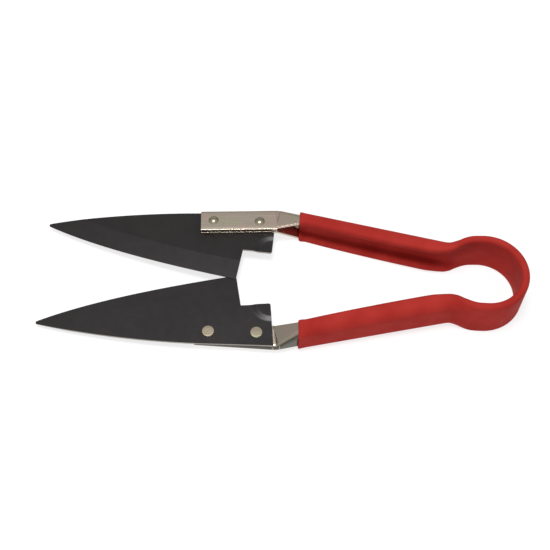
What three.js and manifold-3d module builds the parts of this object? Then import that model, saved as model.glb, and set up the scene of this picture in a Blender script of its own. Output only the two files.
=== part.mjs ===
// Single-bow spring shears for grass and topiary: two blades, each riveted to one end of a single
// bent strip of spring steel, which a dipped coating covers from the grips round the bow.
//
// Millimetres. X runs along the shears, with the blade tips towards -X and the bow at +X. Y is
// across them, in the plane in which the blades open. Z is up, across the width of the strip.
// The origin is the middle of the bounding box at the height of the bow's lower edge. Everything
// is drawn about the mid-plane between the two blades, and the whole is then lifted to stand on
// that edge.

import * as THREE from 'three';
import { mergeVertices } from 'three/addons/utils/BufferGeometryUtils.js';
import Module from 'manifold-3d';

const DEG = Math.PI / 180;

// The strip, whose blank is widest at the back of the grips, and its coating
const BOW_WIDTH = 30.3;
const GRIP_WIDTH_REAR = 35;
const GRIP_WIDTH_FRONT = 30.6;
const TANG_WIDTH = 32;
const STRIP_THICKNESS = 2.0;
const COAT_THICKNESS = 1.7;
const COAT_CLEARANCE = 0.2;
const COAT_EDGE = 1.3;
const STRIP_EDGE_ROUND = 0.3;
const COAT_EDGE_ROUND = 1.8;

// The strip's mid-line in plan
const BOW_CENTRE_X = 132.5;
const BOW_RADIUS = 25.5;
const WAIST_X = 110;
const WAIST_HALF_GAP = 22.8;
const WAIST_RADIUS = 12;
const GRIP_ANGLE = 12.75 * DEG;
const GRIP_LENGTH = 95;
const KICK_RADIUS = 30;
const KICK_ANGLE = 3.5 * DEG;
const NECK_LENGTH = 16.1;
const FOLD_RADIUS = 10;
const TANG_ANGLE = 2.5 * DEG;
const TANG_LENGTH = 51.6;

// How far the strip is folded across its width
const CHANNEL_WEB_FRONT = 6.2;
const CHANNEL_WEB_REAR = 7.3;
const CHANNEL_BEND = 6.3;
const TANG_BEND = 2.28;
const FLARE_PAST_BOW = 6;
const FLARE_INTO_GRIP = 5.5;
const WIDENING_DELAY = 10;
const WIDENING_INTO_GRIP = 6;
const COAT_PAST_GRIP = 5;

// The elastic bow, as two hinges on the strip
const HINGE_ANGLE = 75 * DEG;
const HINGE_GAP = 0.5;

// The blade
const BLADE_THICKNESS = 1.5;
const BLADE_GAP = 0.3;
const FIT_GAP = 0.3;
const TIP = new THREE.Vector2(-159.3, 37.1);
const TIP_RADIUS = 1.2;
const SHOULDER = new THREE.Vector2(-51, 49.3);
const BUTT = new THREE.Vector2(-6, 49.6);
const TAIL = new THREE.Vector2(-8.5, 19.3);
const NOTCH = new THREE.Vector2(-28, 20.9);
const HEEL = new THREE.Vector2(-31.9, -1.5);
const SPINE_BULGE = 2.4;
const EDGE_BULGE = 3.6;
const EDGE_PEAK = 0.65;
const BEVEL_WIDTH = 14;
const BEVEL_DEPTH = 1.1;
const BEVEL_BULGE = 2.6;
const BEVEL_END = 0.2;
const TAIL_ROUND = 1;
const STEP_OUTSIDE = 12.5;
const STEP_INSIDE = 9.5;
const STEP_DEPTH = 0.9;

// The rivets
const RIVET_X = { front: -48.5, rear: -17.2 };
const RIVET_Y = 40.2;
const RIVET_SHANK = 2.2;
const RIVET_HEAD = 3.8;
const RIVET_DOME = 1.5;

// Levels above the mid-plane in the upper arm
const BLADE_LOW = BLADE_GAP / 2;
const BLADE_HIGH = BLADE_LOW + BLADE_THICKNESS;
const TANG_FOLD_RADIUS = TANG_BEND / (90 * DEG);
const TANG_HALF = TANG_FOLD_RADIUS + STRIP_THICKNESS / 2;
const TANG_LIFT = BLADE_HIGH + FIT_GAP + TANG_HALF;
const MID_PLANE = BOW_WIDTH / 2 + COAT_EDGE;

const wasm = await Module();
wasm.setup();

const materials = {
  blade: new THREE.MeshStandardMaterial({ color: 0x35312f, roughness: 0.5, metalness: 0.6 }),
  steel: new THREE.MeshStandardMaterial({ color: 0xa89c88, roughness: 0.35, metalness: 0.9 }),
  rivet: new THREE.MeshStandardMaterial({ color: 0xb4aa90, roughness: 0.3, metalness: 0.9 }),
  coating: new THREE.MeshStandardMaterial({ color: 0xb02a22, roughness: 0.45, metalness: 0 }),
};

/** Closed geometry from points and triangles, with the points that coincide made one. */
function closedGeometry(points, triangles) {
  const geometry = new THREE.BufferGeometry();
  geometry.setAttribute('position', new THREE.Float32BufferAttribute(points.flat(), 3));
  geometry.setIndex(triangles.flat());
  return mergeVertices(geometry, 1e-5);
}

/** A manifold solid from a geometry. */
function solidOf(geometry) {
  const bare = geometry.clone();
  bare.deleteAttribute('normal');
  bare.deleteAttribute('uv');
  const merged = mergeVertices(bare, 1e-5);
  const vertProperties = merged.getAttribute('position').array;
  const triVerts = new Uint32Array(merged.getIndex().array);
  return new wasm.Manifold(new wasm.Mesh({ numProp: 3, vertProperties, triVerts }));
}

/** The geometry of a manifold solid. */
function geometryOf(solid) {
  const mesh = solid.getMesh();
  const geometry = new THREE.BufferGeometry();
  geometry.setAttribute('position', new THREE.BufferAttribute(mesh.vertProperties, 3));
  geometry.setIndex(new THREE.BufferAttribute(mesh.triVerts, 1));
  return geometry;
}

// ---- The strip ----

/** The stretches of the mid-line from the middle of the bow to the end of the upper tang. The
 * shoulder eases the half circle of the bow down to the waist, where the two arms are closest.
 * The kick turns the strip outward at the front of the grip, and the fold turns it back. */
function planStretches() {
  const drop = BOW_RADIUS - WAIST_HALF_GAP;
  const run = BOW_CENTRE_X - WAIST_X;
  const shoulderTurn = 2 * Math.atan(drop / run);
  const shoulderRadius = run / Math.sin(shoulderTurn) - WAIST_RADIUS;
  const waistTurn = shoulderTurn + GRIP_ANGLE;
  const foldTurn = GRIP_ANGLE + KICK_ANGLE + TANG_ANGLE;
  return [
    { name: 'bow', length: BOW_RADIUS * 90 * DEG, turn: 90 * DEG },
    { name: 'shoulder', length: shoulderRadius * shoulderTurn, turn: shoulderTurn },
    { name: 'waist', length: WAIST_RADIUS * waistTurn, turn: -waistTurn },
    { name: 'grip', length: GRIP_LENGTH, turn: 0 },
    { name: 'kick', length: KICK_RADIUS * KICK_ANGLE, turn: -KICK_ANGLE },
    { name: 'neck', length: NECK_LENGTH, turn: 0 },
    { name: 'fold', length: FOLD_RADIUS * foldTurn, turn: foldTurn },
    { name: 'tang', length: TANG_LENGTH, turn: 0 },
  ];
}

const PLAN = planStretches();

/** How far along the mid-line a stretch ends. */
function endOf(name) {
  let travelled = 0;
  for (const stretch of PLAN) {
    travelled += stretch.length;
    if (stretch.name === name) return travelled;
  }
  throw new Error(`no stretch called ${name}`);
}

/** Where the mid-line is at a distance along it, and the way it heads there. Distances below
 * zero are on the lower arm's side of the bow. */
function planAt(distance) {
  if (distance < 0) {
    const mirror = planAt(-distance);
    return { x: mirror.x, y: -mirror.y, heading: Math.PI - mirror.heading };
  }
  let x = BOW_CENTRE_X + BOW_RADIUS;
  let y = 0;
  let heading = 90 * DEG;
  let left = distance;
  for (const stretch of PLAN) {
    const run = Math.min(left, stretch.length);
    const turn = (stretch.turn * run) / stretch.length;
    const chord = turn === 0 ? run : (run * Math.sin(turn / 2)) / (turn / 2);
    x += chord * Math.cos(heading + turn / 2);
    y += chord * Math.sin(heading + turn / 2);
    heading += turn;
    left -= run;
    if (left <= 0) break;
  }
  return { x, y, heading };
}

/** A blend from 0 to 1 as a value goes from low to high. */
function blend(value, low, high) {
  return THREE.MathUtils.smoothstep(value, low, high);
}

/** The fold across the strip at a distance along it: flat bow, channel grip, doubled tang. */
function foldAt(distance) {
  const flareStart = endOf('bow') + FLARE_PAST_BOW;
  const flareEnd = endOf('waist') + FLARE_INTO_GRIP;
  const neckStart = endOf('grip');
  const creaseAt = (endOf('neck') + endOf('fold')) / 2;
  const { clamp, lerp } = THREE.MathUtils;
  const alongGrip = clamp((distance - flareEnd) / (neckStart - flareEnd), 0, 1);
  const closing = clamp((distance - neckStart) / (creaseAt - neckStart), 0, 1);
  const widening = blend(distance, flareStart + WIDENING_DELAY, flareEnd + WIDENING_INTO_GRIP);
  const gripWidth = lerp(GRIP_WIDTH_REAR, GRIP_WIDTH_FRONT, alongGrip ** 2);
  const width = lerp(lerp(BOW_WIDTH, gripWidth, widening), TANG_WIDTH, closing);
  return {
    half: width / 2,
    web: lerp(CHANNEL_WEB_REAR, CHANNEL_WEB_FRONT, alongGrip) * (1 - closing),
    bend: lerp(CHANNEL_BEND, TANG_BEND, closing),
    angle: 90 * DEG * blend(distance, flareStart, flareEnd),
    lift: TANG_LIFT * closing,
  };
}

/** Half of the strip's section: places across the mid-surface, from the web to the free edge. */
function halfSection(fold, bendSteps) {
  const places = [];
  for (let i = 0; i <= bendSteps; i += 1) {
    const tilt = (fold.angle * i) / Math.max(bendSteps, 1);
    const arc = (fold.bend * i) / Math.max(bendSteps, 1);
    const chord = tilt === 0 ? arc : (arc * Math.sin(tilt / 2)) / (tilt / 2);
    places.push({
      out: -chord * Math.sin(tilt / 2),
      up: fold.web + chord * Math.cos(tilt / 2),
      tilt,
    });
  }
  const last = places[places.length - 1];
  const bendUsed = bendSteps > 0 ? fold.bend : 0;
  const flange = fold.half - fold.web - bendUsed;
  places.push({
    out: last.out - flange * Math.sin(last.tilt),
    up: last.up + flange * Math.cos(last.tilt),
    tilt: last.tilt,
  });
  return places;
}

/** The outline of a layer `offset` thick either side of the strip's mid-surface, which reaches
 * past the strip's free edges and has chamfered corners there. */
function sectionRing(distance, bendSteps, offset, reach, edgeRound) {
  const fold = foldAt(distance);
  const half = halfSection(fold, bendSteps);
  const edge = half[half.length - 1];
  const pushed = (place, side, along) => ({
    out: place.out + side * Math.cos(place.tilt) - along * Math.sin(place.tilt),
    up: place.up + side * Math.sin(place.tilt) + along * Math.cos(place.tilt),
  });
  const extra = (place) => (place === edge ? reach - edgeRound : 0);
  const outer = half.map((place) => pushed(place, offset, extra(place)));
  const inner = half.map((place) => pushed(place, -offset, extra(place)));
  outer.push(pushed(edge, offset - edgeRound, reach));
  inner.push(pushed(edge, edgeRound - offset, reach));
  const mirrored = (list) => list.map(({ out, up }) => ({ out, up: -up }));
  const ring = [
    ...mirrored(outer).reverse(),
    ...outer,
    ...inner.toReversed(),
    ...mirrored(inner),
  ];
  const { x, y, heading } = planAt(distance);
  return ring.map(({ out, up }) => [
    x + out * Math.sin(heading),
    y - out * Math.cos(heading),
    up + fold.lift,
  ]);
}

/** Quads between two loops of points, as index triples. `flip` turns them over. */
function band(first, second, count, flip) {
  const triangles = [];
  for (let i = 0; i < count; i += 1) {
    const j = (i + 1) % count;
    const quad = [
      [first + i, first + j, second + j],
      [first + i, second + j, second + i],
    ];
    triangles.push(...(flip ? quad.map((t) => t.toReversed()) : quad));
  }
  return triangles;
}

/** A cap over one ring of a flat, folded section. */
function cap(distance, rings, start, flip) {
  const { x, y, heading } = planAt(distance);
  const flat = rings.map((p) => {
    const out = (p[0] - x) * Math.sin(heading) - (p[1] - y) * Math.cos(heading);
    return new THREE.Vector2(out, p[2]);
  });
  const faces = THREE.ShapeUtils.triangulateShape(flat, []);
  return faces.map((f) => (flip ? f.toReversed() : f).map((i) => i + start));
}

/** Steel between the first and last of some distances along the strip. */
function steelGeometry(distances, bendSteps) {
  const rings = distances.map((d) =>
    sectionRing(d, bendSteps, STRIP_THICKNESS / 2, 0, STRIP_EDGE_ROUND));
  const count = rings[0].length;
  const triangles = [];
  for (let i = 0; i + 1 < rings.length; i += 1) {
    triangles.push(...band(i * count, (i + 1) * count, count, true));
  }
  const last = rings.length - 1;
  triangles.push(...cap(distances[0], rings[0], 0, false));
  triangles.push(...cap(distances[last], rings[last], last * count, true));
  return closedGeometry(rings.flat(), triangles);
}

/** The coating's sleeve round the steel, open at both ends for the strip to run through. */
function coatGeometry(distances, bendSteps) {
  const skin = STRIP_THICKNESS / 2;
  const outer = distances.map((d) =>
    sectionRing(d, bendSteps, skin + COAT_THICKNESS, COAT_EDGE, COAT_EDGE_ROUND));
  const inner = distances.map((d) =>
    sectionRing(d, bendSteps, skin + COAT_CLEARANCE, COAT_CLEARANCE, STRIP_EDGE_ROUND));
  const count = outer[0].length;
  const inside = outer.length * count;
  const triangles = [];
  for (let i = 0; i + 1 < outer.length; i += 1) {
    triangles.push(...band(i * count, (i + 1) * count, count, true));
    triangles.push(...band(inside + i * count, inside + (i + 1) * count, count, false));
  }
  const last = (outer.length - 1) * count;
  triangles.push(...band(0, inside, count, false));
  triangles.push(...band(last, inside + last, count, true));
  return closedGeometry([...outer.flat(), ...inner.flat()], triangles);
}

/** Evenly spaced distances from one to another, both included. */
function spaced(from, to, steps) {
  return Array.from({ length: steps + 1 }, (_, i) => from + ((to - from) * i) / steps);
}

/** Distances through several stretches, each end used once. */
function chained(...lists) {
  return lists.flatMap((list, i) => (i === 0 ? list : list.slice(1)));
}

const HINGE = BOW_RADIUS * HINGE_ANGLE;
const ARM_START = HINGE + HINGE_GAP / 2;
const FLARE_END = endOf('waist') + FLARE_INTO_GRIP;
const WIDEST = FLARE_END + WIDENING_INTO_GRIP;
const NECK_FROM = endOf('grip');
const COAT_END = NECK_FROM + COAT_PAST_GRIP;
const BEND_STEPS = 3;

/** Distances at which the waist and the grip are drawn, as far as the start of the kick. */
function gripDistances() {
  return chained(
    spaced(ARM_START, endOf('bow'), 3),
    spaced(endOf('bow'), endOf('shoulder'), 8),
    spaced(endOf('shoulder'), endOf('waist'), 5),
    spaced(endOf('waist'), FLARE_END, 2),
    spaced(FLARE_END, WIDEST, 2),
    spaced(WIDEST, NECK_FROM, 4),
  );
}

/** One arm of the strip: the last of the bow, waist, channel grip, neck and doubled tang. */
function springArm() {
  const distances = chained(
    gripDistances(),
    [NECK_FROM, endOf('kick'), COAT_END],
    spaced(COAT_END, endOf('neck'), 3),
    spaced(endOf('neck'), endOf('fold'), 4),
    [endOf('fold'), endOf('tang')],
  );
  let solid = solidOf(steelGeometry(distances, BEND_STEPS));
  for (const x of Object.values(RIVET_X)) {
    solid = solid.subtract(solidOf(rivetHole(x)));
  }
  return geometryOf(solid);
}

/** The coating of one arm, from the hinge in the bow to its front end behind the neck. */
function gripCoating() {
  return coatGeometry([...gripDistances(), endOf('kick'), COAT_END], BEND_STEPS);
}

/** Distances through the bow between the two hinges. */
function bowDistances() {
  const end = HINGE - HINGE_GAP / 2;
  return spaced(-end, end, 24);
}

// ---- The blade ----

/** A shallow curve that bulges to the right of its way from a to b. */
function bowed(a, b, bulge, peak = 0.5) {
  const way = b.clone().sub(a);
  const right = new THREE.Vector2(way.y, -way.x).normalize();
  const middle = a.clone().addScaledVector(way, peak).addScaledVector(right, 2 * bulge);
  return new THREE.QuadraticBezierCurve(a, middle, b);
}

/** Points along a curve between two of its parameters. */
function along(curve, from, to, steps) {
  return spaced(from, to, steps).map((t) => curve.getPoint(t));
}

/** Points on an arc about a centre. */
function arc(centre, radius, from, to, steps) {
  return spaced(from, to, steps).map((a) =>
    new THREE.Vector2(centre.x + radius * Math.cos(a), centre.y + radius * Math.sin(a)));
}

/** The distance from a point to a line through points. */
function distanceTo(path, point) {
  let nearest = Infinity;
  for (let i = 0; i + 1 < path.length; i += 1) {
    const way = path[i + 1].clone().sub(path[i]);
    const t = THREE.MathUtils.clamp(point.clone().sub(path[i]).dot(way) / way.lengthSq(), 0, 1);
    nearest = Math.min(nearest, path[i].clone().addScaledVector(way, t).distanceTo(point));
  }
  return nearest;
}

/** A slab over several outlines that share edges, between a floor and a ceiling surface. */
function slab(patches, floor, ceiling) {
  const points = [];
  const triangles = [];
  const edges = new Map();
  const key = (p) => `${p.x.toFixed(6)},${p.y.toFixed(6)}`;
  const corner = (p, height) => points.push([p.x, p.y, height(p)]) - 1;
  for (const outline of patches) {
    for (const face of THREE.ShapeUtils.triangulateShape(outline, [])) {
      const flat = face.map((i) => outline[i]);
      triangles.push(flat.map((p) => corner(p, ceiling)));
      triangles.push(flat.toReversed().map((p) => corner(p, floor)));
      flat.forEach((p, i) => {
        const q = flat[(i + 1) % 3];
        const back = `${key(q)} ${key(p)}`;
        if (!edges.delete(back)) edges.set(`${key(p)} ${key(q)}`, [p, q]);
      });
    }
  }
  for (const [p, q] of edges.values()) {
    const [pl, ql] = [corner(p, floor), corner(q, floor)];
    const [ph, qh] = [corner(p, ceiling), corner(q, ceiling)];
    triangles.push([pl, ql, qh], [pl, qh, ph]);
  }
  return closedGeometry(points, triangles);
}

/** The blade: flat body, ground bevel along the cutting edge, and a tail corner that steps inward
 * to the mid-plane, where it meets the other blade's as the closing stop. */
function blade() {
  const spineTip = arc(TIP, TIP_RADIUS, 100 * DEG, 100 * DEG, 1)[0];
  const edgeTip = arc(TIP, TIP_RADIUS, 252 * DEG, 252 * DEG, 1)[0];
  const spine = bowed(SHOULDER, spineTip, SPINE_BULGE);
  const cuttingEdge = along(bowed(edgeTip, HEEL, EDGE_BULGE, 1 - EDGE_PEAK), 0, 1, 14);
  const heelToNotch = NOTCH.clone().sub(HEEL);
  const bevelHeel = HEEL.clone().addScaledVector(heelToNotch, BEVEL_WIDTH / heelToNotch.length());
  const bevelTip = spine.getPoint(1 - BEVEL_END);
  const bevelLine = along(bowed(bevelTip, bevelHeel, BEVEL_BULGE), 0, 1, 8);
  const buttWay = BUTT.clone().sub(TAIL).normalize();
  const notchWay = NOTCH.clone().sub(TAIL).normalize();
  const stepAt = (radius) => arc(TAIL, radius, buttWay.angle(), notchWay.angle(), 8);
  const outside = stepAt(STEP_OUTSIDE);
  const inside = stepAt(STEP_INSIDE);
  const tailRound = [
    TAIL.clone().addScaledVector(notchWay, TAIL_ROUND),
    TAIL.clone().addScaledVector(buttWay.clone().add(notchWay), TAIL_ROUND * 0.3),
    TAIL.clone().addScaledVector(buttWay, TAIL_ROUND),
  ];

  const body = [...bevelLine, NOTCH, ...outside.toReversed(), BUTT,
    ...along(spine, 0, 1 - BEVEL_END, 6).slice(0, -1)];
  const bevel = [...bevelLine.toReversed(), ...along(spine, 1 - BEVEL_END, 1, 2).slice(1),
    ...arc(TIP, TIP_RADIUS, 100 * DEG, 252 * DEG, 4).slice(1), ...cuttingEdge.slice(1)];
  const step = [...outside, ...inside.toReversed()];
  const stop = [...inside, ...tailRound];

  const pressAt = (p) => STEP_DEPTH
    * THREE.MathUtils.mapLinear(
      THREE.MathUtils.clamp(p.distanceTo(TAIL), STEP_INSIDE, STEP_OUTSIDE),
      STEP_OUTSIDE, STEP_INSIDE, 0, 1,
    );
  const grindAt = (p) => BEVEL_DEPTH * Math.max(0, 1 - distanceTo(cuttingEdge, p) / BEVEL_WIDTH);
  const floor = (p) => BLADE_LOW - pressAt(p);
  const ceiling = (p) => BLADE_HIGH - pressAt(p) - grindAt(p);
  const counterClockwise = (outline) =>
    (THREE.ShapeUtils.area(outline) < 0 ? outline.toReversed() : outline);
  let solid = solidOf(slab([body, bevel, step, stop].map(counterClockwise), floor, ceiling));
  for (const x of Object.values(RIVET_X)) {
    solid = solid.subtract(solidOf(rivetHole(x)));
  }
  return geometryOf(solid);
}

// ---- The rivets ----

/** A solid of revolution about a vertical line, from its radii and heights. */
function turned(x, profile, segments) {
  const points = profile.map(([radius, height]) => new THREE.Vector2(radius, height));
  const geometry = new THREE.LatheGeometry(points, segments);
  geometry.rotateX(90 * DEG);
  geometry.translate(x, RIVET_Y, 0);
  return geometry;
}

/** The countersunk hole for a rivet, through the blade and both layers of the tang. */
function rivetHole(x) {
  const hole = RIVET_SHANK + FIT_GAP;
  return turned(x, [
    [0, BLADE_LOW - 1],
    [RIVET_HEAD + FIT_GAP + 1, BLADE_LOW - 1],
    [hole, BLADE_HIGH],
    [hole, TANG_LIFT + TANG_HALF + 1],
    [0, TANG_LIFT + TANG_HALF + 1],
  ], 16);
}

/** A rivet: flush head in the blade's inner face, shank, and domed head on the tang. */
function rivet(x) {
  const seat = TANG_LIFT + TANG_HALF + FIT_GAP;
  const domeSteps = spaced(0, 90 * DEG, 4).slice(0, -1);
  const dome = domeSteps.map((a) => [RIVET_HEAD * Math.cos(a), seat + RIVET_DOME * Math.sin(a)]);
  return turned(x, [
    [0, BLADE_LOW],
    [RIVET_HEAD, BLADE_LOW],
    [RIVET_SHANK, BLADE_HIGH],
    [RIVET_SHANK, seat],
    ...dome,
    [0, seat + RIVET_DOME],
  ], 16);
}

// ---- The shears ----

function mesh(name, geometry, material) {
  const made = new THREE.Mesh(geometry, material);
  made.name = name;
  return made;
}

/** One arm with its blade, coating and rivets, as it lies above the mid-plane. */
function arm(side) {
  const group = new THREE.Group();
  group.add(mesh(`${side}_blade`, blade(), materials.blade));
  group.add(mesh(`${side}_spring_arm`, springArm(), materials.steel));
  group.add(mesh(`${side}_grip_coating`, gripCoating(), materials.coating));
  for (const [place, x] of Object.entries(RIVET_X)) {
    group.add(mesh(`${side}_${place}_rivet`, rivet(x), materials.rivet));
  }
  return group;
}

const shears = new THREE.Group();
const upper = arm('upper');
const lower = arm('lower');
lower.rotation.x = Math.PI;
shears.add(upper, lower);
shears.add(mesh('spring_bow', steelGeometry(bowDistances(), 0), materials.steel));
shears.add(mesh('bow_coating', coatGeometry(bowDistances(), 0), materials.coating));
shears.position.z = MID_PLANE;

export default shears;
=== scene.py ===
"""Grass shears with a single bow: fine meshes, materials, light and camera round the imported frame.

Metres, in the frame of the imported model: X along the shears with the bow at +X, Y across them,
Z up across the width of the spring strip. The upper arm is built above the mid-plane between
the blades. The lower arm is the same shape turned half a turn about the long axis.
"""

import math

import bmesh
import bpy
from mathutils import Matrix, Vector


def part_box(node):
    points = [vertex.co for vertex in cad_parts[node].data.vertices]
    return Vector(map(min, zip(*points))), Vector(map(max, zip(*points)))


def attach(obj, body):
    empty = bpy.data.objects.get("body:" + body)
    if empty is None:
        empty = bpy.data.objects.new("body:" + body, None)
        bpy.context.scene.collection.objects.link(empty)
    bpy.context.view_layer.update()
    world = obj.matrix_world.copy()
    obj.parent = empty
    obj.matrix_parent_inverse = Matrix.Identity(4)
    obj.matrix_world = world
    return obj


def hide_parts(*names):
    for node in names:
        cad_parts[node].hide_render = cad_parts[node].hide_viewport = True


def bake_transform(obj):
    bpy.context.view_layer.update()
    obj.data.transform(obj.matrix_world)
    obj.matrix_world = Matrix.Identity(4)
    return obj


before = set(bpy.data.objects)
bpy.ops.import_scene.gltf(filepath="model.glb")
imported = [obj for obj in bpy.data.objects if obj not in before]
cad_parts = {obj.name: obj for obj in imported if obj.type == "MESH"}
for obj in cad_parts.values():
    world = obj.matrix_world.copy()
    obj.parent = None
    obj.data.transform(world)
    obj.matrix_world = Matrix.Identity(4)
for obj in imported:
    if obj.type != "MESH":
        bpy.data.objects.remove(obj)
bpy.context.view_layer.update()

# The strip, whose blank is widest at the back of the grips, and its coating
BOW_WIDTH = 0.0303
GRIP_WIDTH_REAR = 0.0350
GRIP_WIDTH_FRONT = 0.0306
TANG_WIDTH = 0.032
STRIP_HALF = 0.001
STRIP_EDGE_ROUND = 0.00035
COAT_HALF = 0.0027
COAT_EDGE = 0.0013
COAT_ROUND = 0.0026
COAT_BORE = 0.00104
COAT_LIP = 0.0011
COAT_SWELL = 0.00022
COAT_SWELL_LENGTH = 0.006
COAT_SLANT_LENGTH = 0.02

# The strip's mid-line in plan
BOW_RADIUS = 0.0255
WAIST_FROM_BOW = 0.0225
WAIST_HALF_GAP = 0.0228
WAIST_RADIUS = 0.012
GRIP_ANGLE = math.radians(12.75)
GRIP_LENGTH = 0.095
KICK_RADIUS = 0.030
KICK_ANGLE = math.radians(3.5)
NECK_LENGTH = 0.0161
FOLD_RADIUS = 0.010
TANG_ANGLE = math.radians(2.5)
TANG_LENGTH = 0.0516

# How far the strip is folded across its width
CHANNEL_WEB_FRONT = 0.0062
CHANNEL_WEB_REAR = 0.0073
CHANNEL_BEND = 0.0063
TANG_WEB = 0.0002
TANG_BEND = 0.00228
FLARE_PAST_BOW = 0.006
FLARE_INTO_GRIP = 0.0055
WIDENING_DELAY = 0.010
WIDENING_INTO_GRIP = 0.006
CREASE_DENT = 0.00009
CREASE_WIDTH = 0.0006
# Painted shade on the strip: a face darkens as its normal turns outward between these two shares
PAINTED_SHADE_FROM = 0.6
PAINTED_SHADE_FULL = 0.85
COAT_PAST_GRIP = 0.005
TANG_LIFT = 0.0044

# The blade, in plan and above the mid-plane
BLADE_LOW = 0.00015
BLADE_HIGH = 0.00165
TIP = Vector((-0.1593, 0.0371))
TIP_RADIUS = 0.0012
SHOULDER = Vector((-0.051, 0.0493))
BUTT = Vector((-0.006, 0.0496))
TAIL = Vector((-0.0085, 0.0193))
NOTCH = Vector((-0.028, 0.0209))
HEEL = Vector((-0.0319, -0.0015))
SPINE_BULGE = 0.0024
EDGE_BULGE = 0.0036
EDGE_PEAK = 0.65
BEVEL_WIDTH = 0.014
BEVEL_DEPTH = 0.0011
BEVEL_BULGE = 0.0026
BEVEL_END = 0.2
STEP_OUTSIDE = 0.0134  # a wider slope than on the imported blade, for a soft gleam
STEP_INSIDE = 0.0086
STEP_DEPTH = 0.0009
TAIL_ROUND = 0.0003
BLADE_EDGE_BEVEL = 0.00012

# The rivets
RIVET_XS = {"front": -0.0485, "rear": -0.0172}
RIVET_Y = 0.0402
RIVET_HEAD = 0.0038
RIVET_SHANK = 0.0022
RIVET_PROUD = 0.00005
RIVET_DOME = 0.0015
RIVET_DOME_FOOT = 0.0035
RIVET_SEATED = 0.00003
RIVET_SIDES = 48

SIDES = ("upper", "lower")
BOW_LOW, BOW_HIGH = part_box("bow_coating")
MID_Z = (BOW_LOW.z + BOW_HIGH.z) / 2
BOW_CENTRE_X = BOW_HIGH.x - COAT_HALF - BOW_RADIUS
SEAM = 0.00004
AXIS = 1e-6

# Steps across half of a section: the web, the bend, the flange and the rounded free edge
COAT_STEPS = (4, 9, 4, 7)
STEEL_STEPS = (3, 9, 5, 3)

# Steps along the blade's two long curves and both ways over the pressed corner
BLADE_STEPS = 60
PRESS_STEPS = 24

# Up to these angles in degrees, neighbouring faces are shaded as one surface
COAT_SMOOTH = 50
STEEL_SMOOTH = 40
BLADE_SMOOTH = 4.2


# ---------------------------------------------------------------- small helpers

def clamp(value, low=0.0, high=1.0):
    return max(low, min(high, value))


def mix(a, b, share):
    return a + (b - a) * share


def smooth(value, low, high):
    t = clamp((value - low) / (high - low))
    return t * t * (3 - 2 * t)


def spaced(start, end, steps):
    return [mix(start, end, i / steps) for i in range(steps + 1)]


def chained(*lists):
    joined = list(lists[0])
    for more in lists[1:]:
        joined += more[1:]
    return joined


def half_turn():
    """The turn about the long axis that carries the upper arm to the lower one."""
    to_axis = Matrix.Translation((0, 0, MID_Z))
    return to_axis @ Matrix.Rotation(math.pi, 4, "X") @ to_axis.inverted()


def placed(mesh, side):
    """Lifts a mesh from the mid-plane to its place in the frame, for one arm."""
    mesh.transform(Matrix.Translation((0, 0, MID_Z)))
    if side == "lower":
        mesh.transform(half_turn())
    return mesh


def new_object(name, mesh, *materials):
    piece = bpy.data.objects.new(name, mesh)
    bpy.context.scene.collection.objects.link(piece)
    for made in materials:
        mesh.materials.append(made)
    return piece


def mesh_from(name, points, faces, sharp_angle):
    """A mesh with its faces turned outward and shaded smooth up to an angle."""
    mesh = bpy.data.meshes.new(name)
    mesh.from_pydata(points, [], faces)
    shaped = bmesh.new()
    shaped.from_mesh(mesh)
    bmesh.ops.remove_doubles(shaped, verts=shaped.verts, dist=1e-7)
    bmesh.ops.recalc_face_normals(shaped, faces=shaped.faces)
    shaped.to_mesh(mesh)
    shaped.free()
    mesh.shade_smooth()
    mesh.set_sharp_from_angle(angle=math.radians(sharp_angle))
    return mesh


# ---------------------------------------------------------------- the strip's shape

def plan_stretches():
    """Length and turn of each stretch from the middle of the bow to the end of the tang."""
    drop = BOW_RADIUS - WAIST_HALF_GAP
    shoulder_turn = 2 * math.atan(drop / WAIST_FROM_BOW)
    shoulder_radius = WAIST_FROM_BOW / math.sin(shoulder_turn) - WAIST_RADIUS
    waist_turn = shoulder_turn + GRIP_ANGLE
    fold_turn = GRIP_ANGLE + KICK_ANGLE + TANG_ANGLE
    return {
        "bow": (BOW_RADIUS * math.pi / 2, math.pi / 2),
        "shoulder": (shoulder_radius * shoulder_turn, shoulder_turn),
        "waist": (WAIST_RADIUS * waist_turn, -waist_turn),
        "grip": (GRIP_LENGTH, 0.0),
        "kick": (KICK_RADIUS * KICK_ANGLE, -KICK_ANGLE),
        "neck": (NECK_LENGTH, 0.0),
        "fold": (FOLD_RADIUS * fold_turn, fold_turn),
        "tang": (TANG_LENGTH, 0.0),
    }


PLAN = plan_stretches()


def end_of(name):
    travelled = 0.0
    for stretch, (length, _) in PLAN.items():
        travelled += length
        if stretch == name:
            return travelled
    raise KeyError(name)


BOW_END = end_of("bow")
SHOULDER_END = end_of("shoulder")
WAIST_END = end_of("waist")
GRIP_END = end_of("grip")
KICK_END = end_of("kick")
NECK_END = end_of("neck")
FOLD_END = end_of("fold")
TANG_END = end_of("tang")
FLARE_START = BOW_END + FLARE_PAST_BOW
FLARE_END = WAIST_END + FLARE_INTO_GRIP
CREASE_AT = (NECK_END + FOLD_END) / 2
COAT_END = GRIP_END + COAT_PAST_GRIP


def plan_at(distance):
    """x, y and heading of the strip's mid-line at a distance from the middle of the bow."""
    x, y, heading, left = BOW_CENTRE_X + BOW_RADIUS, 0.0, math.pi / 2, distance
    for length, whole_turn in PLAN.values():
        run = min(left, length)
        turn = whole_turn * run / length
        chord = run * math.sin(turn / 2) / (turn / 2) if turn else run
        x += chord * math.cos(heading + turn / 2)
        y += chord * math.sin(heading + turn / 2)
        heading += turn
        left -= run
        if left <= 0:
            break
    return x, y, heading


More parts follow.
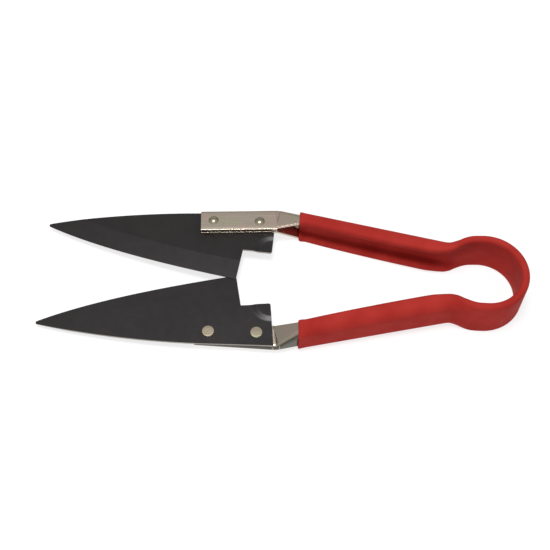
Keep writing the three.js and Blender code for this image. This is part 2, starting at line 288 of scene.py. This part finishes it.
def fold_at(distance):
    """The fold across the strip: half web, width and angle of each bend, and rise."""
    along_grip = clamp((distance - FLARE_END) / (GRIP_END - FLARE_END))
    closing = clamp((distance - GRIP_END) / (CREASE_AT - GRIP_END))
    widening = smooth(distance, FLARE_START + WIDENING_DELAY, FLARE_END + WIDENING_INTO_GRIP)
    grip_width = mix(GRIP_WIDTH_REAR, GRIP_WIDTH_FRONT, along_grip ** 2)
    return {
        "half": mix(mix(BOW_WIDTH, grip_width, widening), TANG_WIDTH, closing) / 2,
        "web": mix(mix(CHANNEL_WEB_REAR, CHANNEL_WEB_FRONT, along_grip), TANG_WEB, closing),
        "bend": mix(CHANNEL_BEND, TANG_BEND, closing),
        "angle": math.pi / 2 * smooth(distance, FLARE_START, FLARE_END),
        "lift": TANG_LIFT * closing,
    }


def across(fold, width, side):
    """Out and up of a point `width` from the middle of the strip, `side` off its mid-surface."""
    web, bend, angle = fold["web"], fold["bend"], fold["angle"]
    bent = clamp(width - web, 0.0, bend)
    tilt = angle * bent / bend
    chord = bent * math.sin(tilt / 2) / (tilt / 2) if tilt else bent
    flange = max(0.0, width - web - bend)
    out = -chord * math.sin(tilt / 2) - flange * math.sin(tilt) + side * math.cos(tilt)
    up = min(width, web) + chord * math.cos(tilt / 2) + flange * math.cos(tilt)
    return out, up + side * math.sin(tilt)


def strip_point(distance, width, side, slant):
    """A point of the strip. `slant` moves it along the strip by how far out it lies."""
    if slant:
        distance += slant * across(fold_at(distance), abs(width), side)[0]
    fold = fold_at(distance)
    out, up = across(fold, abs(width), side)
    x, y, heading = plan_at(distance)
    level = math.copysign(up, width) + fold["lift"]
    return x + out * math.sin(heading), y - out * math.cos(heading), level


def section(distance, half, reach, rounding, steps, slant=0.0):
    """The ring of points round the strip at a distance: a layer `half` thick either side of the
    mid-surface, reaching `reach` past the free edges, with rounded corners."""
    fold = fold_at(distance)
    web_steps, bend_steps, flange_steps, round_steps = steps
    edge = fold["half"] + reach - rounding
    widths = chained(
        spaced(0, fold["web"], web_steps),
        spaced(fold["web"], fold["web"] + fold["bend"], bend_steps),
        spaced(fold["web"] + fold["bend"], edge, flange_steps),
    )
    quarter = spaced(0, math.pi / 2, round_steps)
    corner = [(edge + rounding * math.sin(a), half - rounding * (1 - math.cos(a)))
              for a in quarter]
    outer = [(w, half) for w in widths[:-1]] + corner
    right = outer + [(w, -s) for w, s in reversed(outer)]
    left = [(-w, s) for w, s in reversed(right[1:-1])]
    return [strip_point(distance, w, s, slant) for w, s in right + left]


def bands(first, second, count):
    """Quads between two rings of points that start at those indices."""
    return [
        (first + i, first + (i + 1) % count, second + (i + 1) % count, second + i)
        for i in range(count)
    ]


# ---------------------------------------------------------------- the coating

def coat_distances():
    return chained(
        [0.0, SEAM],
        spaced(SEAM, BOW_END, 48),
        spaced(BOW_END, SHOULDER_END, 26),
        spaced(SHOULDER_END, WAIST_END, 14),
        spaced(WAIST_END, FLARE_END, 10),
        spaced(FLARE_END, COAT_END - COAT_SWELL_LENGTH, 24),
        spaced(COAT_END - COAT_SWELL_LENGTH, COAT_END - COAT_LIP, 12),
    )


def coat_slant(distance):
    """The coating's front end lies square to the shears, not square to the slanting grip."""
    return math.tan(GRIP_ANGLE) * smooth(distance, COAT_END - COAT_SLANT_LENGTH, COAT_END - COAT_LIP)


def coat_ring(distance, thinned):
    """A ring of the coating's outside. It swells a little towards its front end, as a dip does."""
    swell = COAT_SWELL * smooth(distance, COAT_END - COAT_SWELL_LENGTH, COAT_END) - thinned
    return section(distance, COAT_HALF + swell, COAT_EDGE + swell, COAT_ROUND + swell / 2,
                   COAT_STEPS, coat_slant(distance))


def coat_half(side):
    """Half of the coating as a sleeve: round the strip from the middle of the bow to its lip."""
    distances = coat_distances()
    rings = [coat_ring(d, 0) for d in distances]
    for angle in spaced(0, math.pi / 2, 6)[1:]:
        thinned = COAT_LIP * (1 - math.cos(angle))
        rings.append(coat_ring(COAT_END - COAT_LIP * (1 - math.sin(angle)), thinned))
    rings += [section(d, COAT_BORE, COAT_BORE - STRIP_HALF, STRIP_EDGE_ROUND,
                      COAT_STEPS, coat_slant(d))
              for d in [COAT_END] + distances[::-1]]
    count = len(rings[0])
    faces = []
    for i in range(len(rings)):
        faces += bands(i * count, ((i + 1) % len(rings)) * count, count)
    points = [point for ring in rings for point in ring]
    return placed(mesh_from(f"{side}_coat", points, faces, COAT_SMOOTH), side)


# ---------------------------------------------------------------- the steel strip

def steel_distances():
    return chained(
        [0.0, SEAM],
        spaced(SEAM, BOW_END, 30),
        spaced(BOW_END, SHOULDER_END, 14),
        spaced(SHOULDER_END, WAIST_END, 8),
        spaced(WAIST_END, FLARE_END, 6),
        spaced(FLARE_END, GRIP_END, 12),
        spaced(GRIP_END, KICK_END, 12),
        spaced(KICK_END, NECK_END, 20),
        spaced(NECK_END, CREASE_AT - 3 * CREASE_WIDTH, 4),
        spaced(CREASE_AT - 3 * CREASE_WIDTH, CREASE_AT + 3 * CREASE_WIDTH, 18),
        spaced(CREASE_AT + 3 * CREASE_WIDTH, FOLD_END, 4),
        spaced(FOLD_END, TANG_END, 40),
    )


def dent_at(distance):
    """How deep the press has marked the strip where the neck ends and the tang begins."""
    return CREASE_DENT * math.exp(-((distance - CREASE_AT) / CREASE_WIDTH) ** 2)


def steel_half(side):
    """Half of the strip, solid, from the middle of the bow to the end of the tang. It carries a
    painted shade: a mask that darkens its faces that look outward, away from the other arm."""
    rings = [section(d, STRIP_HALF - dent_at(d), 0, STRIP_EDGE_ROUND, STEEL_STEPS)
             for d in steel_distances()]
    count = len(rings[0])
    faces = []
    for i in range(len(rings) - 1):
        faces += bands(i * count, (i + 1) * count, count)
    faces.append(tuple(range(count)))
    faces.append(tuple(range((len(rings) - 1) * count, len(rings) * count)))
    points = [point for ring in rings for point in ring]
    mesh = mesh_from(f"{side}_strip", points, faces, STEEL_SMOOTH)
    # Painted shade: a mask for the strip's faces that look outward, away from the other arm
    outward_painted_shade = mesh.attributes.new("outward_painted_shade", "FLOAT", "POINT")
    for vertex in mesh.vertices:
        outward = smooth(vertex.normal.y, PAINTED_SHADE_FROM, PAINTED_SHADE_FULL)
        outward_painted_shade.data[vertex.index].value = outward
    return placed(mesh, side)


# ---------------------------------------------------------------- the blade

def bowed(a, b, bulge, peak=0.5):
    """A function for points on a shallow curve that bulges to the right of its way."""
    way = b - a
    right = Vector((way.y, -way.x)).normalized()
    middle = a + way * peak + right * 2 * bulge
    return lambda t: a * (1 - t) ** 2 + middle * (2 * t * (1 - t)) + b * t ** 2


def arc(centre, radius, start, end, steps):
    return [centre + radius * Vector((math.cos(a), math.sin(a))) for a in spaced(start, end, steps)]


def distance_to(path, point):
    """The distance from a point to a line through points."""
    nearest = math.inf
    for a, b in zip(path, path[1:]):
        way = b - a
        t = clamp((point - a).dot(way) / way.length_squared)
        nearest = min(nearest, (a + way * t - point).length)
    return nearest


def blade_patches():
    """The blade's outline in patches that share edges, and its cutting edge."""
    nose = arc(TIP, TIP_RADIUS, math.radians(100), math.radians(252), 10)
    spine = bowed(SHOULDER, nose[0], SPINE_BULGE)
    cutting = [bowed(nose[-1], HEEL, EDGE_BULGE, 1 - EDGE_PEAK)(t) for t in spaced(0, 1, BLADE_STEPS)]
    heel_way = NOTCH - HEEL
    bevel_heel = HEEL + heel_way * (BEVEL_WIDTH / heel_way.length)
    bevel = [bowed(spine(1 - BEVEL_END), bevel_heel, BEVEL_BULGE)(t) for t in spaced(0, 1, BLADE_STEPS)]
    near_tip = [spine(t) for t in spaced(1 - BEVEL_END, 1, 12)]
    butt_way, notch_way = (BUTT - TAIL).normalized(), (NOTCH - TAIL).normalized()
    start, end = math.atan2(butt_way.y, butt_way.x), math.atan2(notch_way.y, notch_way.x)
    radii = chained(spaced(STEP_OUTSIDE, STEP_INSIDE, PRESS_STEPS),
                    spaced(STEP_INSIDE, TAIL_ROUND * 4, 3))
    arcs = [arc(TAIL, r, start, end, PRESS_STEPS) for r in radii]
    back = [spine(t) for t in spaced(0, 1 - BEVEL_END, 40)[:-1]]
    patches = [bevel + [NOTCH] + arcs[0][::-1] + [BUTT] + back]
    patches.append([bevel[0]] + near_tip[1:-1] + nose)
    patches += [[bevel[i], cutting[i], cutting[i + 1], bevel[i + 1]] for i in range(BLADE_STEPS)]
    for outer, inner in zip(arcs, arcs[1:]):
        patches += [[outer[i], outer[i + 1], inner[i + 1], inner[i]] for i in range(PRESS_STEPS)]
    patches.append(arcs[-1] + [TAIL + (notch_way + butt_way) * TAIL_ROUND])
    return patches, cutting


def press_at(point):
    """How far the blade steps inward: the tail's corner is pressed down to the mid-plane."""
    return STEP_DEPTH * smooth(-(point - TAIL).length, -STEP_OUTSIDE, -STEP_INSIDE)


def blade_mesh(side):
    patches, cutting = blade_patches()

    def grind_at(point):
        return BEVEL_DEPTH * clamp(1 - distance_to(cutting, point) / BEVEL_WIDTH)

    points, faces, index, edges = [], [], {}, {}

    def corner(point, high):
        key = (round(point.x, 8), round(point.y, 8), high)
        if key not in index:
            height = BLADE_HIGH - grind_at(point) if high else BLADE_LOW
            index[key] = len(points)
            points.append((point.x, point.y, height - press_at(point)))
        return index[key]

    for patch in patches:
        high, low = [corner(p, True) for p in patch], [corner(p, False) for p in patch]
        faces += [tuple(high), tuple(reversed(low))]
        for i in range(len(patch)):
            j = (i + 1) % len(patch)
            walls = edges.setdefault(frozenset((high[i], high[j])), [])
            walls.append((high[i], high[j], low[j], low[i]))
    faces += [walls[0] for walls in edges.values() if len(walls) == 1]
    mesh = mesh_from(f"{side}_blade_mesh", points, faces, BLADE_SMOOTH)
    for face in mesh.polygons:
        face.material_index = int(abs(face.normal.z) < 0.5)
    return placed(mesh, side)


# ---------------------------------------------------------------- the rivets

def turned(name, x, profile):
    """A solid of revolution about a vertical line, from its radii and heights."""
    sides = RIVET_SIDES
    points, faces = [], []
    for radius, height in profile:
        for i in range(sides):
            a = 2 * math.pi * i / sides
            points.append((x + radius * math.cos(a), RIVET_Y + radius * math.sin(a), height))
    for ring in range(len(profile) - 1):
        faces += bands(ring * sides, (ring + 1) * sides, sides)
    faces.append(tuple(range(sides)))
    faces.append(tuple(range((len(profile) - 1) * sides, len(profile) * sides)))
    return mesh_from(name, points, faces, STEEL_SMOOTH)


def tang_top():
    """The height of the tang's outer face above the mid-plane."""
    return TANG_LIFT + TANG_BEND / (math.pi / 2) + TANG_WEB + STRIP_HALF


def rivet_mesh(name, x, side):
    """A rivet: filed head all but flush in the blade, shank, and a soft domed head on the tang."""
    seat = tang_top() - RIVET_SEATED
    filed = BLADE_LOW - RIVET_PROUD
    profile = [
        (AXIS, filed - 0.00001),
        (RIVET_HEAD * 0.5, filed),
        (RIVET_HEAD * 0.92, filed + 0.00001),
        (RIVET_HEAD, filed + 0.00004),
        (RIVET_HEAD, BLADE_LOW + 0.0001),
        (RIVET_SHANK, BLADE_HIGH),
        (RIVET_SHANK, seat),
    ]
    for share in spaced(1, 0, 16):
        height = RIVET_DOME * (1 - share ** 2) ** 1.15
        profile.append((AXIS + RIVET_DOME_FOOT * share, seat + height))
    return placed(turned(name, x, profile), side)


# ---------------------------------------------------------------- materials

class Look:
    """A Principled material whose nodes are added by short calls."""

    def __init__(self, name, **values):
        self.material = bpy.data.materials.new(name)
        self.material.use_nodes = True
        self.nodes = self.material.node_tree.nodes
        self.links = self.material.node_tree.links
        self.shader = self.nodes["Principled BSDF"]
        self.place = self.nodes.new("ShaderNodeTexCoord").outputs["Object"]
        for socket, value in values.items():
            self.shader.inputs[socket.replace("_", " ")].default_value = value

    def noise(self, scale, detail=3.0, stretch=(1, 1, 1), roughness=0.55, shift=0.0):
        """A noise value between 0 and 1; `scale` is in features to the metre."""
        mapping = self.nodes.new("ShaderNodeMapping")
        mapping.inputs["Scale"].default_value = stretch
        mapping.inputs["Location"].default_value = (shift, shift, shift)
        texture = self.nodes.new("ShaderNodeTexNoise")
        texture.inputs["Scale"].default_value = scale
        texture.inputs["Detail"].default_value = detail
        texture.inputs["Roughness"].default_value = roughness
        self.links.new(self.place, mapping.inputs["Vector"])
        self.links.new(mapping.outputs["Vector"], texture.inputs["Vector"])
        return texture.outputs["Fac"]

    def range(self, value, low, high, to_low=0.0, to_high=1.0):
        node = self.nodes.new("ShaderNodeMapRange")
        for name, number in zip(("From Min", "From Max", "To Min", "To Max"),
                                (low, high, to_low, to_high)):
            node.inputs[name].default_value = number
        self.links.new(value, node.inputs["Value"])
        return node.outputs["Result"]

    def mixed(self, share, first, second):
        """A colour between two, each a tuple or another socket."""
        node = self.nodes.new("ShaderNodeMix")
        node.data_type = "RGBA"
        self.links.new(share, node.inputs["Factor"])
        for slot, colour in (("A", first), ("B", second)):
            socket = [s for s in node.inputs if s.name == slot and s.type == "RGBA"][0]
            if isinstance(colour, tuple):
                socket.default_value = (*colour, 1)
            else:
                self.links.new(colour, socket)
        return [s for s in node.outputs if s.type == "RGBA"][0]

    def bump(self, height, distance, strength, under=None):
        node = self.nodes.new("ShaderNodeBump")
        node.inputs["Distance"].default_value = distance
        node.inputs["Strength"].default_value = strength
        self.links.new(height, node.inputs["Height"])
        if under is not None:
            self.links.new(under, node.inputs["Normal"])
        return node.outputs["Normal"]

    def attribute(self, name):
        """A value that the mesh carries at each of its points."""
        node = self.nodes.new("ShaderNodeAttribute")
        node.attribute_name = name
        return node.outputs["Fac"]

    def set(self, **sockets):
        for name, output in sockets.items():
            self.links.new(output, self.shader.inputs[name.replace("_", " ")])
        return self.material


def coating_look():
    """Red dipped vinyl: a soft sheen, slow swells in its surface, and a little rubbed-in dust."""
    look = Look("dipped_red_coating", IOR=1.30, Specular_IOR_Level=0.06)
    broad = look.range(look.noise(48, 2), 0.35, 0.65)
    colour = look.mixed(broad, (0.36, 0.025, 0.020), (0.43, 0.035, 0.028))
    dust = look.range(look.noise(1500, 2, shift=3.0), 0.68, 0.80, 0, 0.18)
    colour = look.mixed(dust, colour, (0.50, 0.085, 0.070))
    rough = look.range(look.noise(150, 3, shift=1.0), 0.3, 0.7, 0.52, 0.66)
    swell = look.bump(look.noise(120, 2, shift=5.0), 0.0006, 0.30)
    peel = look.bump(look.noise(1100, 2, shift=7.0), 0.00010, 0.30, swell)
    return look.set(Base_Color=colour, Roughness=rough, Normal=peel)


def plated_look(name, base, roughness):
    """Warm plated steel with pink and green stains, drawn lines along X and small pits, and a
    painted shade that darkens it where the mesh's mask marks faces that look outward."""
    look = Look(name, Metallic=1.0)
    pink = tuple(c * k for c, k in zip(base, (1.10, 0.97, 0.98)))
    green = tuple(c * k for c, k in zip(base, (0.93, 1.02, 0.90)))
    colour = look.mixed(look.range(look.noise(70, 3), 0.45, 0.62), base, pink)
    colour = look.mixed(look.range(look.noise(110, 4, shift=4.0), 0.52, 0.66), colour, green)
    grime = look.range(look.noise(420, 4, shift=9.0), 0.66, 0.82, 0, 0.35)
    colour = look.mixed(grime, colour, (0.24, 0.20, 0.15))
    # Painted shade: dark colour on the faces that the strip's mask marks as looking outward
    colour = look.mixed(look.attribute("outward_painted_shade"), colour, (0.105, 0.097, 0.084))
    lines = look.noise(60, 3, stretch=(0.6, 22, 22), shift=2.0)
    rough = look.range(lines, 0.3, 0.7, roughness - 0.05, roughness + 0.07)
    drawn = look.bump(lines, 0.00005, 0.12)
    pitted = look.bump(look.noise(900, 3, shift=6.0), 0.00006, 0.18, drawn)
    return look.set(Base_Color=colour, Roughness=rough, Normal=pitted)


def blackened_look():
    """Black oxide on rolled steel: dark, even and slightly glossy, with a few fine scratches."""
    look = Look("blackened_steel", Specular_IOR_Level=0.34)
    broad = look.range(look.noise(38, 3), 0.35, 0.65)
    colour = look.mixed(broad, (0.0095, 0.0072, 0.0072), (0.0135, 0.0105, 0.0105))
    speck = look.range(look.noise(700, 3, shift=8.0), 0.72, 0.82, 0, 0.35)
    colour = look.mixed(speck, colour, (0.09, 0.08, 0.077))
    scratch = look.range(look.noise(60, 2, stretch=(0.5, 26, 26), shift=5.0), 0.68, 0.76, 0, 0.20)
    colour = look.mixed(scratch, colour, (0.06, 0.055, 0.052))
    rough = look.range(look.noise(200, 3, shift=1.0), 0.3, 0.7, 0.32, 0.38)
    scale = look.bump(look.noise(1300, 3, shift=2.0), 0.00003, 0.25)
    return look.set(Base_Color=colour, Roughness=rough, Normal=scale)


def cut_edge_look():
    """The blade's sheared and ground edges, where the steel shows through the black."""
    look = Look("cut_edge", Metallic=1.0)
    lines = look.noise(800, 2, stretch=(3, 1, 1))
    colour = look.mixed(lines, (0.14, 0.13, 0.12), (0.48, 0.44, 0.40))
    rough = look.range(lines, 0.3, 0.7, 0.32, 0.48)
    return look.set(Base_Color=colour, Roughness=rough)


def floor_look():
    """A floor that is nearly white by its own glow, so that the shadows on it stay faint."""
    look = Look("pale_floor", Emission_Color=(1, 1, 1, 1), Emission_Strength=0.76)
    colour = look.mixed(look.noise(6, 2), (0.28, 0.28, 0.28), (0.30, 0.30, 0.30))
    rough = look.range(look.noise(40, 2), 0.3, 0.7, 0.75, 0.85)
    return look.set(Base_Color=colour, Roughness=rough)


# ---------------------------------------------------------------- pieces

def bevelled(piece, width):
    """Softens a piece's sharp edges."""
    modifier = piece.modifiers.new("soft_edges", "BEVEL")
    modifier.width = width
    modifier.segments = 2
    modifier.limit_method = "ANGLE"
    modifier.angle_limit = math.radians(35)
    return piece


def bend_with_bow(piece):
    """Bakes the placement of half of the strip or coating into its mesh."""
    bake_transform(piece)


def build_shears():
    coating = coating_look()
    plated = plated_look("plated_spring_steel", (0.53, 0.455, 0.375), 0.26)
    rivet = plated_look("rivet_steel", (0.435, 0.385, 0.285), 0.25)
    blackened = blackened_look()
    cut_edge = cut_edge_look()
    for side in SIDES:
        coat = new_object(f"{side}_coating", coat_half(side), coating)
        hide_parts(f"{side}_grip_coating", "bow_coating")
        bend_with_bow(coat)

        strip = new_object(f"{side}_strip", steel_half(side), plated)
        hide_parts(f"{side}_spring_arm", "spring_bow")
        bend_with_bow(strip)

        blade = new_object(f"{side}_shear_blade", blade_mesh(side), blackened, cut_edge)
        bevelled(blade, BLADE_EDGE_BEVEL)
        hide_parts(f"{side}_blade")
        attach(blade, f"{side}_arm")

        for place, x in RIVET_XS.items():
            name = f"{side}_{place}_rivet"
            piece = new_object(f"{name}_fine", rivet_mesh(name, x, side), rivet)
            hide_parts(name)
            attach(piece, f"{side}_arm")


# ---------------------------------------------------------------- stage, light and camera

FLOOR_HALF = 6.0
FLOOR_GAP = 0.0002


def build_floor():
    """A pale floor under the bow's edge and the lower rivet heads, on which the shears rest."""
    rivet_low, rivet_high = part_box("lower_front_rivet")
    run = BOW_HIGH.x - (rivet_low.x + rivet_high.x) / 2
    rise = (BOW_LOW.z - rivet_low.z) / run
    corners = ((-1, -1), (1, -1), (1, 1), (-1, 1))
    points = [(x * FLOOR_HALF, y * FLOOR_HALF, (x * FLOOR_HALF - BOW_HIGH.x) * rise - FLOOR_GAP)
              for x, y in corners]
    mesh = bpy.data.meshes.new("floor")
    mesh.from_pydata(points, [], [(0, 1, 2, 3)])
    new_object("floor", mesh, floor_look())


SKY_LOW = 0.18
SKY_HIGH = 0.56
SKY_FULL_AT = 0.8
LAMP_PLACE = (-0.08, -0.05, 1.2)
LAMP_SIZE = 0.4
LAMP_POWER = 9


def build_light():
    """A dome that brightens from the horizon upward, and one soft lamp overhead."""
    world = bpy.data.worlds.new("studio")
    bpy.context.scene.world = world
    world.use_nodes = True
    nodes, links = world.node_tree.nodes, world.node_tree.links
    level = nodes.new("ShaderNodeSeparateXYZ")
    links.new(nodes.new("ShaderNodeTexCoord").outputs["Generated"], level.inputs["Vector"])
    sky = nodes.new("ShaderNodeMapRange")
    sky.interpolation_type = "SMOOTHSTEP"
    sky.inputs["From Max"].default_value = SKY_FULL_AT
    sky.inputs["To Min"].default_value = SKY_LOW
    sky.inputs["To Max"].default_value = SKY_HIGH
    links.new(level.outputs["Z"], sky.inputs["Value"])
    nodes["Background"].inputs["Color"].default_value = (1, 1, 1, 1)
    links.new(sky.outputs["Result"], nodes["Background"].inputs["Strength"])

    light = bpy.data.lights.new("overhead", "AREA")
    light.shape = "DISK"
    light.size = LAMP_SIZE
    light.energy = LAMP_POWER
    lamp = bpy.data.objects.new("overhead", light)
    lamp.location = LAMP_PLACE
    lamp.rotation_mode = "QUATERNION"
    lamp.rotation_quaternion = (-Vector(LAMP_PLACE)).to_track_quat("-Z", "Y")
    bpy.context.scene.collection.objects.link(lamp)
    bpy.context.scene.view_settings.view_transform = "Standard"


CAMERA_AIM = (-0.006, 0.0026, MID_Z)
CAMERA_ELEVATION = math.radians(60)
CAMERA_ROLL = math.radians(1.36)
CAMERA_DISTANCE = 0.72
CAMERA_LENS = 70.7
CAMERA_SENSOR = 36.0


def build_camera():
    """A long lens that looks down from the near side, rolled slightly."""
    data = bpy.data.cameras.new("camera")
    data.sensor_width = CAMERA_SENSOR
    data.lens = CAMERA_LENS
    camera = bpy.data.objects.new("camera", data)
    back = Vector((0, -math.cos(CAMERA_ELEVATION), math.sin(CAMERA_ELEVATION)))
    camera.location = Vector(CAMERA_AIM) + back * CAMERA_DISTANCE
    camera.rotation_mode = "QUATERNION"
    roll = Matrix.Rotation(CAMERA_ROLL, 3, "Z").to_quaternion()
    camera.rotation_quaternion = (-back).to_track_quat("-Z", "Y") @ roll
    bpy.context.scene.collection.objects.link(camera)
    bpy.context.scene.camera = camera


build_camera()
build_shears()
build_floor()
build_light()
